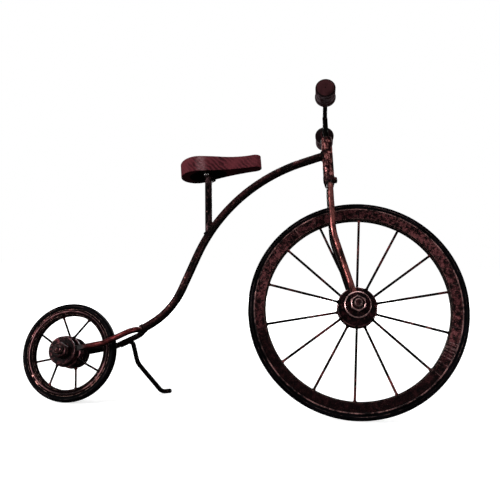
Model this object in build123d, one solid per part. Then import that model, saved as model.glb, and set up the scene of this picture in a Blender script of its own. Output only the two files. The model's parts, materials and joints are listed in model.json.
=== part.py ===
from build123d import *
import os
from math import asin, cos, degrees, radians, sin, sqrt, tan

# Decorative model of a high-wheel bicycle in bent iron rod, parked on its welded side stand.
# Every piece is drawn with the bicycle upright: X forward, Y to the left, Z up from the ground
# line, with X = 0 at the front axle. The finished pieces are then leaned onto the stand.

# Parking: lean to the left, and how far the bars are turned to the left
lean = 15.0
steer_rest = 4.5

# Wheels
wheelbase = 274.0
front_wheel_radius = 100.0
rear_wheel_radius = 47.5
front_tyre_width = 9.4
rear_tyre_width = 8.8
front_tyre_depth = 6.5
rear_tyre_depth = 5.6
tyre_crown_height = 1.1
front_rim_depth = 10.0
rear_rim_depth = 6.2
rim_side_step = 0.4
rim_edge_chamfer = 1.1
rim_wall = 1.5
front_spoke_diameter = 2.3
rear_spoke_diameter = 2.0
front_spoke_count = 14
rear_spoke_count = 8
front_spoke_start = -12.9
rear_spoke_start = -26.9

# Hubs: two flanges on a barrel, with a boss out to each fork eye
front_flange_radius = 18.2
rear_flange_radius = 15.0
front_flange_offset = 5.6
rear_flange_offset = 8.4
flange_thickness = 2.6
front_barrel_radius = 11.0
rear_barrel_radius = 11.5
boss_radius = 7.0
hub_end_gap = 0.3
hub_running_clearance = 0.05

# Axle bolts, nuts and washers
axle_diameter = 8.0
axle_free_end = 4.0
axle_end_diameter = 7.6
hex_across_flats = 13.0
nut_height = 6.5
bolt_head_height = 5.3
hex_corner_chamfer = 0.9
front_washer_radius = 12.0
rear_washer_radius = 13.4
washer_thickness = 2.0
washer_clearance = 0.2
thread_clearance = 0.05

# Steering head
head_tilt = 5.4
head_setback = 29.6
head_over_wheel = 27.6
head_tube_length = 41.0
head_tube_diameter = 10.6
stem_diameter = 5.0
stem_running_clearance = 0.05
stem_rise = 22.2
stem_seat_depth = 6.0
collar_diameter = 11.2
collar_foot_diameter = 8.0
collar_band_height = 5.2
collar_gap = 0.3
collar_screw_diameter = 4.0
collar_screw_head_diameter = 6.2
collar_screw_head_sink = 1.0
collar_screw_reach = 2.4
collar_screw_drop = 3.4

# Front fork: one rod bent over the wheel, flattened to an eye at each end
fork_rod_diameter = 6.0
fork_tyre_clearance = 7.3
fork_crown_drop = 10.8
fork_crown_bend = 11.0
fork_knee_drop = 60.0
fork_knee_bend = 60.0
fork_eye_radius = 7.0
fork_eye_thickness = 3.0

# Handlebar and grips
bar_diameter = 4.4
bar_half_length = 54.0
grip_inner_end = 37.5
grip_length = 22.5
grip_radius = 9.2
grip_lip_radius = 9.7
grip_lip_length = 6.0
grip_nose_radius = 4.0
grip_edge_chamfer = 1.2

# Backbone: a run from the rear fork, a bend up, and a long bend over to a run into the head.
# A run ends at the corner that its bend rounds off.
backbone_diameter = 8.0
backbone_rear_run = 35.4
backbone_rear_slope = 33.8
backbone_front_run = 101.6
backbone_front_slope = 18.65
backbone_low_bend = 70.0
backbone_high_bend = 160.0
backbone_head_height = 23.3

# Rear fork: one rod bent round the front of the rear wheel
stay_diameter = 5.5
stay_tyre_clearance = 6.85
stay_crown_gap = 22.5
stay_crown_bend = 11.0
stay_upper_run = 33.7
stay_upper_slope = 27.0
stay_knee_rise = 9.0
stay_knee_bend = 25.0
stay_eye_radius = 6.5
stay_eye_thickness = 2.8
eye_flat_length = 14.5
eye_flat_taper = 9.0
eye_clearance = 0.05

# Saddle on its post
post_tilt = 5.0
seat_tilt = 8.0
post_diameter = 7.0
post_along_backbone = 116.0
saddle_nose_rise = 1.8
plate_length = 28.0
plate_width = 11.0
plate_thickness = 2.0
saddle_screw_spacing = 19.0
saddle_screw_diameter = 2.6
saddle_screw_head_diameter = 5.0
saddle_screw_head_height = 1.7
saddle_screw_clearance = 0.1
saddle_rear_reach = 27.5
saddle_front_reach = 54.5
saddle_rear_radius = 17.0
saddle_nose_radius = 6.5
saddle_waist_radius = 150.0
saddle_rear_height = 13.6
saddle_crown_height = 15.8
saddle_dip_height = 13.4
saddle_nose_height = 13.0
saddle_crown_place = -3.0
saddle_dip_place = 33.0
saddle_nose_place = 49.0

# Side stand: a rod welded along the outside of the left stay, with its toe on the floor
stand_diameter = 4.5
stand_weld_sink = 0.4
stand_weld_turn = 88.0
stand_weld_length = 13.0
stand_top_along_stay = 17.4
stand_knee_forward = 5.4
stand_knee_out = 6.7
stand_knee_drop = 21.4
stand_heel_forward = 22.0
stand_heel_out = 45.7
stand_toe_length = 9.0
stand_toe_turn = 40.0
stand_top_bend = 4.0
stand_knee_bend = 14.0
stand_heel_bend = 9.0

# A rod's bend takes up to this share of the straight runs beside it
bend_share = 0.98


def in_side_view(length, slope):
    return Vector(cos(radians(slope)), 0, sin(radians(slope))) * length


def rod_line(points, bend_radii):
    # Each bend is as large as asked for, or as its runs leave room for
    runs = [(end - start).length for start, end in zip(points, points[1:])]
    half_turns = [radians((b - a).get_angle(c - b)) / 2 for a, b, c in zip(points, points[1:], points[2:])]
    taken = [0] + [radius * tan(turn) for radius, turn in zip(bend_radii, half_turns)] + [0]
    room = [min(1, bend_share * run / (start + end)) for run, start, end in zip(runs, taken, taken[1:])]
    radii = [radius * min(before, after) for radius, before, after in zip(bend_radii, room, room[1:])]
    return FilletPolyline(*points, radius=radii)


# Frames of reference
front_hub = Vector(0, 0, front_wheel_radius)
rear_hub = Vector(-wheelbase, 0, rear_wheel_radius)
head_line = Vector(-sin(radians(head_tilt)), 0, cos(radians(head_tilt)))
head_base = Vector(-head_setback, 0, 2 * front_wheel_radius + head_over_wheel)
head_frame = Plane(origin=head_base, x_dir=(cos(radians(head_tilt)), 0, sin(radians(head_tilt))),
                   z_dir=head_line).location
fork_half_track = front_tyre_width / 2 + fork_tyre_clearance + fork_rod_diameter / 2
stay_half_track = rear_tyre_width / 2 + stay_tyre_clearance + stay_diameter / 2
stay_run = in_side_view(1, stay_upper_slope)
stay_knee = Vector(rear_hub.X + rear_wheel_radius + stay_crown_gap - stay_upper_run * stay_run.X, 0,
                   rear_hub.Z + stay_knee_rise)
stay_crown = stay_knee + stay_run * stay_upper_run
head_joint = head_base + head_line * backbone_head_height
backbone_line = rod_line([stay_crown, stay_crown + in_side_view(backbone_rear_run, backbone_rear_slope),
                          head_joint - in_side_view(backbone_front_run, backbone_front_slope), head_joint],
                         [backbone_low_bend, backbone_high_bend])
post_line = Vector(-sin(radians(post_tilt)), 0, cos(radians(post_tilt)))
seat_line = Vector(-sin(radians(seat_tilt)), 0, cos(radians(seat_tilt)))
post_foot = backbone_line.position_at(post_along_backbone, position_mode=PositionMode.LENGTH)
# The post lifts the saddle so far that its nose stays over the rising backbone
under_nose = backbone_line & Edge.make_line((post_foot.X + saddle_front_reach, 0, 0),
                                            (post_foot.X + saddle_front_reach, 0, 2 * head_joint.Z))
post_length = under_nose.Z + saddle_nose_rise - post_foot.Z
seat_frame = Plane(origin=post_foot + post_line * post_length,
                   x_dir=(cos(radians(seat_tilt)), 0, sin(radians(seat_tilt))), z_dir=seat_line).location

# The bars' turn at rest is about the head, and the lean about the ground line. A tyre's crown is
# an arc, so the lowest point of a leaning tyre follows from its axle's slope.
steer_turn = head_frame * Rot(0, 0, steer_rest) * head_frame.inverse()
lean_turn = Rot(-lean, 0, 0)


def lowest_of_tyre(turn, hub, radius, width):
    centre = (turn * Pos(hub)).position
    axle_slope = (turn * Pos(hub + Vector(0, 1, 0))).position.Z - centre.Z
    crown_radius = ((width / 2) ** 2 + tyre_crown_height**2) / (2 * tyre_crown_height)
    return centre.Z - (radius - crown_radius) * sqrt(1 - axle_slope**2) - crown_radius


front_low = lowest_of_tyre(lean_turn * steer_turn, front_hub, front_wheel_radius, front_tyre_width)
rear_low = lowest_of_tyre(lean_turn, rear_hub, rear_wheel_radius, rear_tyre_width)
pitch_turn = Rot(0, degrees(asin((front_low - rear_low) / wheelbase)), 0)
ground_turn = pitch_turn * lean_turn
ground_level = lowest_of_tyre(ground_turn, rear_hub, rear_wheel_radius, rear_tyre_width)
ground_place = Pos(0, 0, -ground_level) * ground_turn

frame_pieces = {}
fork_pieces = {}
front_wheel_pieces = {}
rear_wheel_pieces = {}


def bent_rod(line, diameter):
    section = Plane(origin=line @ 0, z_dir=line % 0) * Circle(diameter / 2)
    return sweep(section, path=line)


def turned(points):
    # Points are radius and place along the Y axis
    return revolve(make_face(Polyline(*points, close=True)), Axis.Y)


def cylinder_along_y(radius, low_y, high_y, centre):
    middle = Vector(centre.X, (low_y + high_y) / 2, centre.Z)
    return Pos(middle) * Rot(90, 0, 0) * Cylinder(radius, high_y - low_y)


def flat_eye(rod, rod_diameter, hub, half_track, side, towards, eye_radius, eye_thickness):
    # The rod's end is hammered flat on both faces, rounded to an eye and drilled for the axle
    centre = Vector(hub.X, side * half_track, hub.Z)
    along = Vector(towards.X - hub.X, 0, towards.Z - hub.Z).normalized()
    half = eye_thickness / 2
    reach = eye_radius + rod_diameter
    flat_end = eye_flat_length + eye_flat_taper
    flat_plane = Plane(origin=centre, x_dir=along, z_dir=along.cross(Vector(0, 1, 0)))
    for face in (1, -1):
        outline = [(-reach, half), (eye_flat_length, half), (flat_end, rod_diameter / 2),
                   (flat_end, rod_diameter), (-reach, rod_diameter)]
        wedge = make_face(Polyline(*[(x, face * y) for x, y in outline], close=True))
        rod -= extrude(flat_plane * wedge, amount=rod_diameter, both=True)
    rod += cylinder_along_y(eye_radius, centre.Y - half, centre.Y + half, hub)
    return rod - cylinder_along_y(axle_diameter / 2 + eye_clearance, centre.Y - half, centre.Y + half, hub)


def hex_prism(low_y, high_y, centre):
    # A hexagon with its corners turned off at the face away from the wheel
    height = high_y - low_y
    outward = 1 if low_y > 0 else -1
    hexagon = RegularPolygon(hex_across_flats / 2, 6, major_radius=False)
    blank = Rot(-90, 0, 0) * extrude(hexagon, amount=height / 2, both=True)
    flat_radius = hex_across_flats / 2
    corner_radius = flat_radius / cos(radians(30))
    face = outward * height / 2
    edge = face - outward * hex_corner_chamfer
    blank &= turned([(0, -face), (corner_radius, -face), (corner_radius, edge), (flat_radius, face), (0, face)])
    return Pos(centre.X, (low_y + high_y) / 2, centre.Z) * blank


def tyre_and_rim(pieces, name, hub, radius, width, depth, rim_depth):
    half = width / 2
    seat = radius - depth
    rim_inner = seat - rim_depth
    crown = radius - tyre_crown_height
    tyre_face = make_face([Line((seat, -half), (crown, -half)),
                           ThreePointArc((crown, -half), (radius, 0), (crown, half)),
                           Line((crown, half), (seat, half)), Line((seat, half), (seat, -half))])
    pieces[name + "_tyre"] = Pos(hub) * revolve(tyre_face, Axis.Y)
    side = half - rim_side_step
    # The rim is a rolled channel that the tyre closes
    right = [(rim_inner, side - rim_edge_chamfer), (rim_inner + rim_edge_chamfer, side), (seat, side),
             (seat, side - rim_wall), (rim_inner + rim_wall, side - rim_wall)]
    left = [(r, -y) for r, y in reversed(right)]
    pieces[name + "_rim"] = Pos(hub) * turned(right + left)


def hub_and_spokes(pieces, name, hub, half_length, flange_radius, flange_offset, barrel_radius, rim_inner,
                   spoke_diameter, count, start, first_side):
    inner = flange_offset - flange_thickness / 2
    outer = flange_offset + flange_thickness / 2
    right = [(axle_diameter / 2 + hub_running_clearance, half_length), (boss_radius, half_length),
             (boss_radius, outer), (flange_radius, outer), (flange_radius, inner), (barrel_radius, inner)]
    left = [(r, -y) for r, y in reversed(right)]
    pieces[name + "_hub"] = Pos(hub) * turned(right + left)
    between = turned([(flange_radius, -outer), (rim_inner, -outer), (rim_inner, outer), (flange_radius, outer)])
    spokes = []
    for index in range(count):
        # Spokes go by turns to the two flanges and meet in the middle of the rim
        side = first_side if index % 2 == 0 else -first_side
        angle = radians(start - index * 360 / count)
        rise = side * flange_offset / (rim_inner - flange_radius)
        foot = Vector(flange_radius, side * flange_offset, 0)
        run = Vector(1, -rise, 0)
        wire = Plane(origin=foot - run * spoke_diameter, z_dir=run)
        bar = extrude(wire * Circle(spoke_diameter / 2), amount=run.length * (rim_inner - flange_radius)
                      + 3 * spoke_diameter)
        spokes.append(Pos(hub) * Rot(0, -degrees(angle), 0) * (bar & between).solids()[0])
    pieces[name + "_spokes"] = Compound(children=spokes)


def axle_set(pieces, name, hub, half_track, eye_thickness, washer_radius):
    # The bolt goes in from the left: its head is on the left and its nut on the right
    washer_seat = half_track + eye_thickness / 2
    nut_seat = washer_seat + washer_thickness
    axle_radius = axle_diameter / 2
    nut_face = nut_seat + nut_height
    shank = cylinder_along_y(axle_radius, -nut_face, nut_seat, hub)
    shank += cylinder_along_y(axle_end_diameter / 2, -nut_face - axle_free_end, -nut_face, hub)
    pieces[name + "_axle"] = shank + hex_prism(nut_seat, nut_seat + bolt_head_height, hub)
    nut = hex_prism(-nut_face, -nut_seat, hub)
    pieces[name + "_axle_nut"] = nut - cylinder_along_y(axle_radius + thread_clearance, -nut_face, -nut_seat, hub)
    for side_name, low, high in (("right", -nut_seat, -washer_seat), ("left", washer_seat, nut_seat)):
        washer = cylinder_along_y(washer_radius, low, high, hub)
        pieces[name + "_washer_" + side_name] = washer - cylinder_along_y(axle_radius + washer_clearance,
                                                                          low, high, hub)


# Wheels
tyre_and_rim(front_wheel_pieces, "front", front_hub, front_wheel_radius, front_tyre_width, front_tyre_depth,
             front_rim_depth)
tyre_and_rim(rear_wheel_pieces, "rear", rear_hub, rear_wheel_radius, rear_tyre_width, rear_tyre_depth,
             rear_rim_depth)
hub_and_spokes(front_wheel_pieces, "front", front_hub, fork_half_track - fork_eye_thickness / 2 - hub_end_gap,
               front_flange_radius, front_flange_offset, front_barrel_radius,
               front_wheel_radius - front_tyre_depth - front_rim_depth, front_spoke_diameter,
               front_spoke_count, front_spoke_start, 1)
hub_and_spokes(rear_wheel_pieces, "rear", rear_hub, stay_half_track - stay_eye_thickness / 2 - hub_end_gap,
               rear_flange_radius, rear_flange_offset, rear_barrel_radius,
               rear_wheel_radius - rear_tyre_depth - rear_rim_depth, rear_spoke_diameter,
               rear_spoke_count, rear_spoke_start, -1)
axle_set(fork_pieces, "front", front_hub, fork_half_track, fork_eye_thickness, front_washer_radius)
axle_set(frame_pieces, "rear", rear_hub, stay_half_track, stay_eye_thickness, rear_washer_radius)

# Front fork
crown = head_base - head_line * fork_crown_drop
knee = head_base - head_line * fork_knee_drop
right_side = [Vector(p.X, -fork_half_track, p.Z) for p in (front_hub, knee, crown)]
left_side = [Vector(p.X, fork_half_track, p.Z) for p in (crown, knee, front_hub)]
fork_bends = [fork_knee_bend, fork_crown_bend, fork_crown_bend, fork_knee_bend]
front_fork = bent_rod(rod_line(right_side + left_side, fork_bends), fork_rod_diameter)
for side in (-1, 1):
    front_fork = flat_eye(front_fork, fork_rod_diameter, front_hub, fork_half_track, side, knee,
                          fork_eye_radius, fork_eye_thickness)
fork_pieces["front_fork"] = front_fork

# Steering head: the tube is on the frame, the collar and stem on the fork
stem_radius = stem_diameter / 2
head_tube = head_frame * (Cylinder(head_tube_diameter / 2, head_tube_length, align=(Align.CENTER, Align.CENTER,
                                                                                    Align.MIN))
                          - Cylinder(stem_radius + stem_running_clearance, head_tube_length,
                                     align=(Align.CENTER, Align.CENTER, Align.MIN)))
frame_pieces["head_tube"] = head_tube
bar_height = head_tube_length + stem_rise
handlebar = head_frame * Pos(0, 0, bar_height) * Rot(90, 0, 0) * Cylinder(bar_diameter / 2, 2 * bar_half_length)
fork_pieces["handlebar"] = handlebar
stem_foot = -collar_gap - stem_seat_depth
stem = Pos(0, 0, stem_foot) * Cylinder(stem_radius, bar_height - stem_foot,
                                       align=(Align.CENTER, Align.CENTER, Align.MIN))
fork_pieces["steering_stem"] = head_frame * stem - handlebar
collar_face = make_face(Polyline((0, -fork_crown_drop), (collar_foot_diameter / 2, -fork_crown_drop),
                                 (collar_diameter / 2, -collar_gap - collar_band_height),
                                 (collar_diameter / 2, -collar_gap), (0, -collar_gap), close=True))
collar = Rot(90, 0, 0) * revolve(collar_face, Axis.Y)
collar -= Pos(0, 0, stem_foot) * Cylinder(stem_radius, stem_seat_depth, align=(Align.CENTER, Align.CENTER,
                                                                             Align.MIN))
screw_place = Pos(0, 0, -collar_gap - collar_screw_drop) * Rot(0, 90, 0)
screw_bore = screw_place * Cylinder(collar_screw_diameter / 2, collar_diameter,
                                    align=(Align.CENTER, Align.CENTER, Align.MIN))
head_seat = collar_diameter / 2 - collar_screw_head_sink
screw_head = screw_place * Pos(0, 0, head_seat) * Cylinder(collar_screw_head_diameter / 2,
                                                           collar_screw_head_sink + collar_screw_reach,
                                                           align=(Align.CENTER, Align.CENTER, Align.MIN))
screw = screw_head + screw_place * Pos(0, 0, stem_radius) * Cylinder(collar_screw_diameter / 2,
                                                                     head_seat - stem_radius,
                                                                     align=(Align.CENTER, Align.CENTER, Align.MIN))
fork_pieces["fork_collar"] = head_frame * (collar - screw_bore - screw_head) - front_fork
fork_pieces["collar_screw"] = head_frame * screw - fork_pieces["steering_stem"]

# Grips: turned wood with a wider lip at the inner end
bar_radius = bar_diameter / 2
bar_depth = bar_half_length - grip_inner_end
grip = turned([(grip_nose_radius, 0), (grip_lip_radius, grip_lip_length / 2), (grip_lip_radius, grip_lip_length),
               (grip_radius, grip_lip_length), (grip_radius, grip_length - grip_edge_chamfer),
               (grip_radius - grip_edge_chamfer, grip_length), (0, grip_length), (0, bar_depth),
               (bar_radius, bar_depth), (bar_radius, 0)])
fork_pieces["grip_left"] = head_frame * Pos(0, grip_inner_end, bar_height) * grip
fork_pieces["grip_right"] = head_frame * Pos(0, -grip_inner_end, bar_height) * Rot(0, 0, 180) * grip

# Rear fork and backbone
right_side = [Vector(p.X, -stay_half_track, p.Z) for p in (rear_hub, stay_knee, stay_crown)]
left_side = [Vector(p.X, stay_half_track, p.Z) for p in (stay_crown, stay_knee, rear_hub)]
stay_bends = [stay_knee_bend, stay_crown_bend, stay_crown_bend, stay_knee_bend]
rear_fork = bent_rod(rod_line(right_side + left_side, stay_bends), stay_diameter)
for side in (-1, 1):
    rear_fork = flat_eye(rear_fork, stay_diameter, rear_hub, stay_half_track, side, stay_knee, stay_eye_radius,
                         stay_eye_thickness)
frame_pieces["rear_fork"] = rear_fork
backbone = bent_rod(backbone_line, backbone_diameter)
backbone -= head_frame * Cylinder(head_tube_diameter / 2, head_tube_length, align=(Align.CENTER, Align.CENTER,
                                                                                   Align.MIN))
backbone = (backbone - rear_fork).solids().sort_by(SortBy.VOLUME)[-1]
frame_pieces["backbone"] = backbone

# Seat post, plate, screws and saddle
post = Plane(origin=post_foot, z_dir=post_line) * Cylinder(post_diameter / 2, post_length + post_diameter,
                                                           align=(Align.CENTER, Align.CENTER, Align.MIN))
post = split(post, bisect_by=Plane(seat_frame), keep=Keep.BOTTOM)
frame_pieces["seat_post"] = (post - backbone).solids().sort_by(SortBy.VOLUME)[-1]
screw_places = [Pos(0, side * saddle_screw_spacing / 2, 0) for side in (-1, 1)]
screw_hole = Cylinder(saddle_screw_diameter / 2 + saddle_screw_clearance, plate_thickness,
                      align=(Align.CENTER, Align.CENTER, Align.MIN))
plate = extrude(Rot(0, 0, 90) * SlotOverall(plate_length, plate_width), amount=plate_thickness)
for place in screw_places:
    plate -= place * screw_hole
frame_pieces["saddle_plate"] = seat_frame * plate
screw_head = Cylinder(saddle_screw_head_diameter / 2, saddle_screw_head_height,
                      align=(Align.CENTER, Align.CENTER, Align.MAX))
screw_shank = Cylinder(saddle_screw_diameter / 2, plate_thickness, align=(Align.CENTER, Align.CENTER, Align.MIN))
saddle_screw = screw_head + screw_shank
frame_pieces["saddle_screws"] = Compound(children=[seat_frame * place * saddle_screw for place in screw_places])

# Saddle: the plan is a pear of tangent arcs, the side view dips in the middle and lifts at the nose
rear_centre = saddle_rear_radius - saddle_rear_reach
nose_centre = saddle_front_reach - saddle_nose_radius
rear_span = saddle_waist_radius + saddle_rear_radius
nose_span = saddle_waist_radius + saddle_nose_radius
waist_x = (rear_span**2 - nose_span**2 + nose_centre**2 - rear_centre**2) / (2 * (nose_centre - rear_centre))
waist_y = sqrt(rear_span**2 - (waist_x - rear_centre) ** 2)
rear_touch = Vector(rear_centre, 0) + Vector(waist_x - rear_centre, waist_y) * (saddle_rear_radius / rear_span)
nose_touch = Vector(nose_centre, 0) + Vector(waist_x - nose_centre, waist_y) * (saddle_nose_radius / nose_span)
waist_centre = Vector(waist_x, waist_y)
to_middle = ((rear_touch + nose_touch) * 0.5 - waist_centre).normalized()
waist_middle = waist_centre + to_middle * saddle_waist_radius


def across(point):
    return Vector(point.X, -point.Y)


plan = make_face([ThreePointArc(rear_touch, (-saddle_rear_reach, 0), across(rear_touch)),
                  ThreePointArc(across(rear_touch), across(waist_middle), across(nose_touch)),
                  ThreePointArc(across(nose_touch), (saddle_front_reach, 0), nose_touch),
                  ThreePointArc(nose_touch, waist_middle, rear_touch)])
crest_end = (saddle_crown_place + saddle_dip_place) / 2
crest_height = (saddle_crown_height + saddle_dip_height) / 2
crest = ThreePointArc((-saddle_rear_reach, saddle_rear_height), (saddle_crown_place, saddle_crown_height),
                      (crest_end, crest_height))
dip = TangentArc((crest_end, crest_height), (saddle_nose_place, saddle_nose_height), tangent=crest % 1)
lift = TangentArc((saddle_nose_place, saddle_nose_height), (saddle_front_reach, saddle_nose_height),
                  tangent=dip % 1)
profile = make_face([crest, dip, lift, Polyline((saddle_front_reach, saddle_nose_height), (saddle_front_reach, 0),
                                                (-saddle_rear_reach, 0),
                                                (-saddle_rear_reach, saddle_rear_height))])
saddle = extrude(plan, amount=2 * saddle_nose_height)
saddle &= extrude(Plane.XZ * profile, amount=2 * saddle_rear_radius, both=True)
frame_pieces["saddle"] = seat_frame * Pos(0, 0, plate_thickness) * saddle

# Side stand: heel and toe lie on the floor once the bicycle leans
stay_down = Vector(stay_run.Z, 0, -stay_run.X)
weld_offset = stay_diameter / 2 + stand_diameter / 2 - stand_weld_sink
weld_side = stay_down * cos(radians(stand_weld_turn)) + Vector(0, sin(radians(stand_weld_turn)), 0)
stand_top = stay_knee + stay_run * stand_top_along_stay + weld_side * weld_offset + Vector(0, stay_half_track, 0)
stand_end = stand_top - stay_run * stand_weld_length
stand_knee = stand_top + Vector(stand_knee_forward, stand_knee_out, -stand_knee_drop)
heel_over_floor = (ground_place * Pos(stand_top.X + stand_heel_forward, stand_top.Y + stand_heel_out, 0)).position
heel_floor = Vector(heel_over_floor.X, heel_over_floor.Y, stand_diameter / 2)
toe_floor = heel_floor + Vector(cos(radians(stand_toe_turn)), sin(radians(stand_toe_turn)), 0) * stand_toe_length
to_bicycle = ground_place.inverse()
stand_points = [stand_end, stand_top, stand_knee, (to_bicycle * Pos(heel_floor)).position,
                (to_bicycle * Pos(toe_floor)).position]
stand_line = rod_line(stand_points, [stand_top_bend, stand_knee_bend, stand_heel_bend])
side_stand = bent_rod(stand_line, stand_diameter)
frame_pieces["side_stand"] = (side_stand - rear_fork).solids().sort_by(SortBy.VOLUME)[-1]

# Turn the bars, lean everything onto the stand and centre it over the floor
standing = {}
for pieces, turn in ((frame_pieces, ground_place), (rear_wheel_pieces, ground_place),
                     (fork_pieces, ground_place * steer_turn), (front_wheel_pieces, ground_place * steer_turn)):
    for name, piece in pieces.items():
        standing[name] = turn * piece
boxes = [piece.bounding_box() for piece in standing.values()]
middle_x = (min(box.min.X for box in boxes) + max(box.max.X for box in boxes)) / 2
middle_y = (min(box.min.Y for box in boxes) + max(box.max.Y for box in boxes)) / 2
floor_place = Pos(-middle_x, -middle_y, 0)

os.makedirs("parts", exist_ok=True)
for name, piece in standing.items():
    export_step(floor_place * piece, "parts/" + name + ".step")
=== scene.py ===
import json
import math

import bmesh
import bpy
from mathutils import Matrix, Vector, noise
from mathutils.bvhtree import BVHTree


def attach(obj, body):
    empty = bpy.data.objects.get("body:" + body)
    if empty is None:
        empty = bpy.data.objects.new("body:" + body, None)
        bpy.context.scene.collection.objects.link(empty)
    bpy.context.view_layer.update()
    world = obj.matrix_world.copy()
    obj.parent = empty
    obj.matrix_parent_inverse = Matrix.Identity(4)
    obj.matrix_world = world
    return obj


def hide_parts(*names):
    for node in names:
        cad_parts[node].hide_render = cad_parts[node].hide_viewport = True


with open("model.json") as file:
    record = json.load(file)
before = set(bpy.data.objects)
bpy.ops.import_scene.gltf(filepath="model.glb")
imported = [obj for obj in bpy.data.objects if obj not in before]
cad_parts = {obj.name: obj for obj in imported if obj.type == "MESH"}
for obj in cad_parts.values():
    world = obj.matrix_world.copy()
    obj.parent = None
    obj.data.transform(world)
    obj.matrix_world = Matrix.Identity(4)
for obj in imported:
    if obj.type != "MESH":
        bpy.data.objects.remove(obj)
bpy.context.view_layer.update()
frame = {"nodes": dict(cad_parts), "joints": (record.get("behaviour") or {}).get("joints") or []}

nodes = frame["nodes"]
joints = {joint["name"]: joint for joint in frame["joints"]}
mm = 0.001  # sizes below are in millimetres, Blender works in metres
fullTurn = 2 * math.pi
xWay, yWay, zWay = [Vector(row) for row in Matrix.Identity(3)]
backTilt = dict(post=5.0, seat=8.0)  # degrees back from the bicycle's upright


# Axes of the bicycle, read from its joints: left along the axles, up along the head
def axesMatrix(origin, xAxis, yAxis, zAxis):
    turn = Matrix((xAxis, yAxis, zAxis)).transposed().to_4x4()
    return Matrix.Translation(origin) @ turn


def hingePoint(name):
    return Vector(joints[name]["pos_m"])


def hingeAxis(name):
    return Vector(joints[name]["axis"]).normalized()


def turnedWay(start, toward, degrees):
    turn = math.radians(degrees)
    return start * math.cos(turn) + toward * math.sin(turn)


def nodePoints(node):
    return [vertex.co for vertex in nodes[node].data.vertices]


def middleOf(points):
    return sum(points, Vector()) / len(points)


headAxis = hingeAxis("steering")
frontLeft = hingeAxis("front_wheel_spin")
rearLeft = hingeAxis("rear_wheel_spin")
bikeForward = (xWay - rearLeft * rearLeft.x).normalized()
bikeUp = bikeForward.cross(rearLeft)
headForward = rearLeft.cross(headAxis)
forkForward = frontLeft.cross(headAxis)
postUp = turnedWay(bikeUp, -bikeForward, backTilt["post"])
seatUp = turnedWay(bikeUp, -bikeForward, backTilt["seat"])
seatForward = turnedWay(bikeForward, bikeUp, backTilt["seat"])
headFoot = hingePoint("steering")
frontWheelPlace = axesMatrix(hingePoint("front_wheel_spin"), forkForward, frontLeft, headAxis)
rearWheelPlace = axesMatrix(hingePoint("rear_wheel_spin"), bikeForward, rearLeft, bikeUp)
headPlace = axesMatrix(headFoot, headForward, rearLeft, headAxis)
forkPlace = axesMatrix(headFoot, forkForward, frontLeft, headAxis)
plateMiddle = middleOf(nodePoints("saddle_plate"))


# Small shader helpers. They fill the node tree on the bench, and take colours as red, green and blue.
bench = {}


def feed(sockets, values):
    for label, value in values.items():
        socket = sockets[label]
        if isinstance(value, bpy.types.NodeSocket):
            bench["tree"].links.new(value, socket)
        elif socket.type == "RGBA":
            socket.default_value = (*value, 1.0)
        else:
            socket.default_value = value


def putNode(kind, inputs=None, **settings):
    node = bench["tree"].nodes.new("ShaderNode" + kind)
    for key, value in settings.items():
        setattr(node, key, value)
    feed(node.inputs, inputs or {})
    return node


def mathNode(operation, first, second=0.0, clamp=False):
    return putNode("Math", {0: first, 1: second}, operation=operation, use_clamp=clamp).outputs[0]


def times(first, *others):
    for other in others:
        first = mathNode("MULTIPLY", first, other)
    return first


def weighted(first, firstShare, second, secondShare):
    return mathNode("ADD", times(first, firstShare), times(second, secondShare))


def vectorNode(operation, first, second=(0, 0, 0)):
    outputs = putNode("VectorMath", {0: first, 1: second}, operation=operation).outputs
    return outputs["Value" if operation in ("DOT_PRODUCT", "LENGTH") else "Vector"]


def noiseNode(place, scale, detail, roughness=0.5, distortion=0.0):
    return putNode("TexNoise", {"Vector": place, "Scale": scale, "Detail": detail, "Roughness": roughness,
                                "Distortion": distortion}).outputs[0]


def surface(kind):
    # "Object" is the place in the part's own frame, "Normal" the way the surface faces there
    return putNode("TexCoord").outputs[kind]


def mixColor(factor, first, second):
    return putNode("Mix", {0: factor, 6: first, 7: second}, data_type="RGBA").outputs[2]


def mapRange(value, low, high, outLow=0.0, outHigh=1.0):
    inputs = {0: value, 1: low, 2: high, 3: outLow, 4: outHigh}
    return putNode("MapRange", inputs, interpolation_type="SMOOTHSTEP").outputs[0]


def newGroup(name, takes, fill):
    # An input is a kind of socket, or the number that it starts from; fill returns what the group gives
    tree = bench["tree"] = bpy.data.node_groups.new(name, "ShaderNodeTree")
    for label, start in takes.items():
        kind = start if isinstance(start, str) else "Float"
        socket = tree.interface.new_socket(label, in_out="INPUT", socket_type="NodeSocket" + kind)
        if kind == "Float":
            socket.default_value = start
    gives = fill(tree.nodes.new("NodeGroupInput").outputs)
    kinds = {"VALUE": "Float", "VECTOR": "Vector", "RGBA": "Color"}
    for label, value in gives.items():
        tree.interface.new_socket(label, in_out="OUTPUT", socket_type="NodeSocket" + kinds[value.type])
    feed(tree.nodes.new("NodeGroupOutput").inputs, gives)
    return tree


def placeGroup(group, inputs):
    node = bench["tree"].nodes.new("ShaderNodeGroup")
    node.node_tree = group
    feed(node.inputs, inputs)
    return node.outputs


def maskOf(group, **inputs):
    return placeGroup(group, inputs)["Mask"]


# Dark lacquer that hands and a cloth have rubbed through to copper. Ranges are from, to and what they give.
lacquer = dict(detail=5.0, rough=0.62, wander=0.4, fineTimes=4.5, fineDetail=4.0, fineRough=0.7,
               patchShare=0.62, fineShare=0.38, edgeAt=0.86, edgePerRub=0.62, edgeBelow=0.12, edgeAbove=0.1,
               glint=(0.58, 0.74), glintMost=0.6, metalMost=0.9, roughness=(0.3, 0.7, 0.42, 0.26),
               rubbedHeight=-0.4)


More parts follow.
